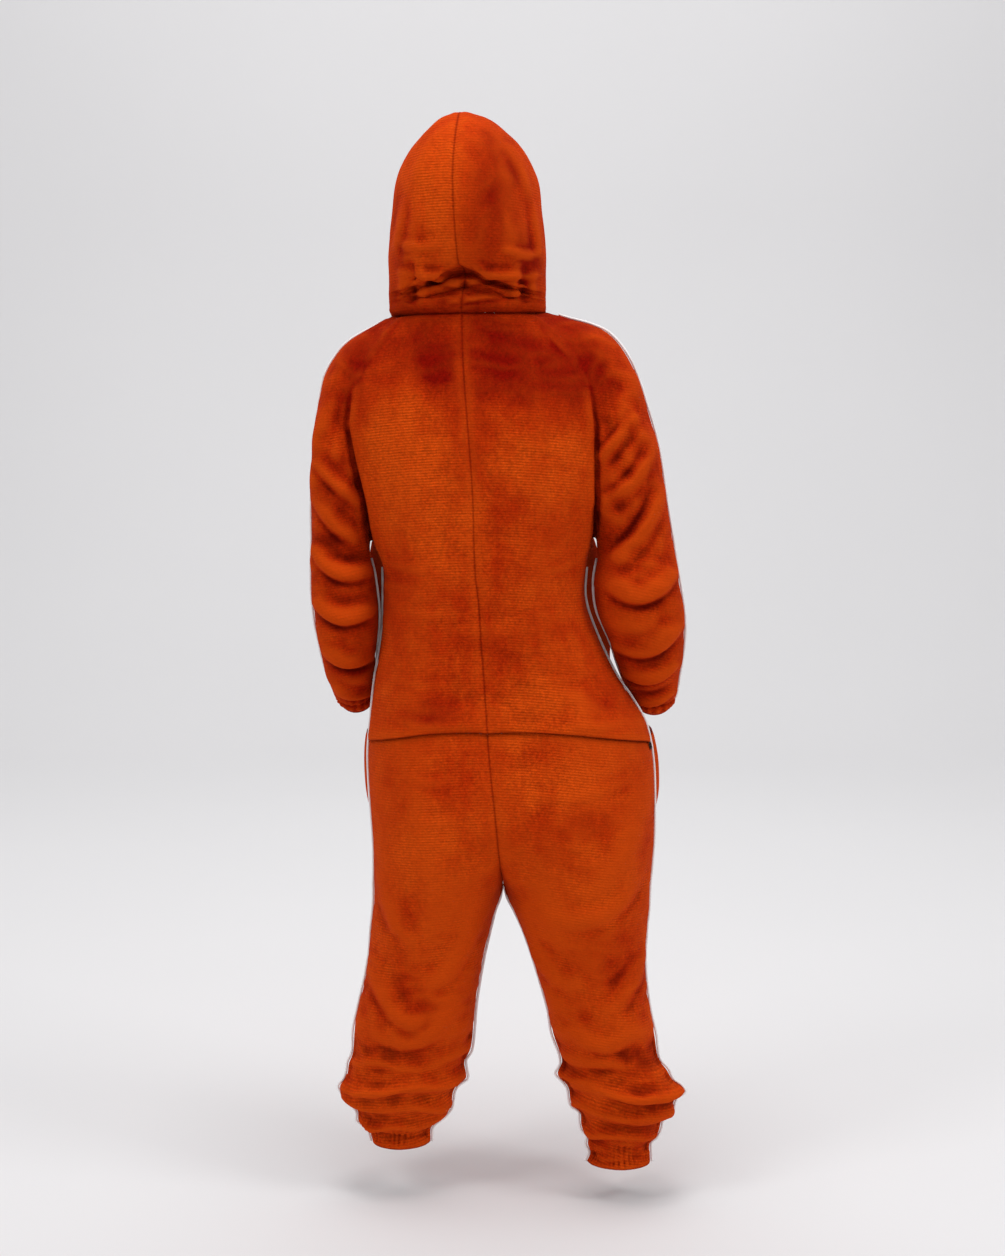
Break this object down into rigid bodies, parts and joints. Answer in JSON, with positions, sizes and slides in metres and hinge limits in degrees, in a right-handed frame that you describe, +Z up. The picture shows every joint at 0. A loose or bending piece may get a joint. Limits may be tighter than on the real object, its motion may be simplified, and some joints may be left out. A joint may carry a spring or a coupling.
{
  "type": "hooded plush onesie",
  "caption": "Hooded one-piece plush onesie with white piping in its seams, kimono sleeves, front pockets, buttoned front and a zipped drop seat.",
  "frame": {"origin": "middle of the neck base, where the wearer's shoulders hold the garment", "axes": "+Z up, the front faces -Y, +X is the wearer's left"},
  "size_m": [0.6268, 0.305, 1.7321],
  "materials": {
    "plush": "short velour pile",
    "piping": "smooth satin cord",
    "button": "satin moulded",
    "zip_tape": "woven tape",
    "zip_metal": "enamelled"
  },
  "bodies": {
    "root": {"button_1": "button", "button_2": "button", "button_3": "button", "button_4": "button", "button_5": "button", "button_6": "button", "front_left": "plush", "front_placket": "plush", "front_right": "plush", "hood_front_band": "plush", "hood_left": "plush", "hood_piping": "piping", "hood_right": "plush", "inseam_piping": "piping", "overarm_piping_left": "piping", "overarm_piping_right": "piping", "pocket_left": "plush", "pocket_right": "plush", "seat_and_leg_left": "plush", "seat_and_leg_right": "plush", "seat_zip_slider": "zip_metal", "seat_zip_tape": "zip_tape", "side_piping_left": "piping", "side_piping_right": "piping", "underarm_piping_left": "piping", "underarm_piping_right": "piping", "upper_back_left": "plush", "upper_back_right": "plush"}
  },
  "joints": []
}
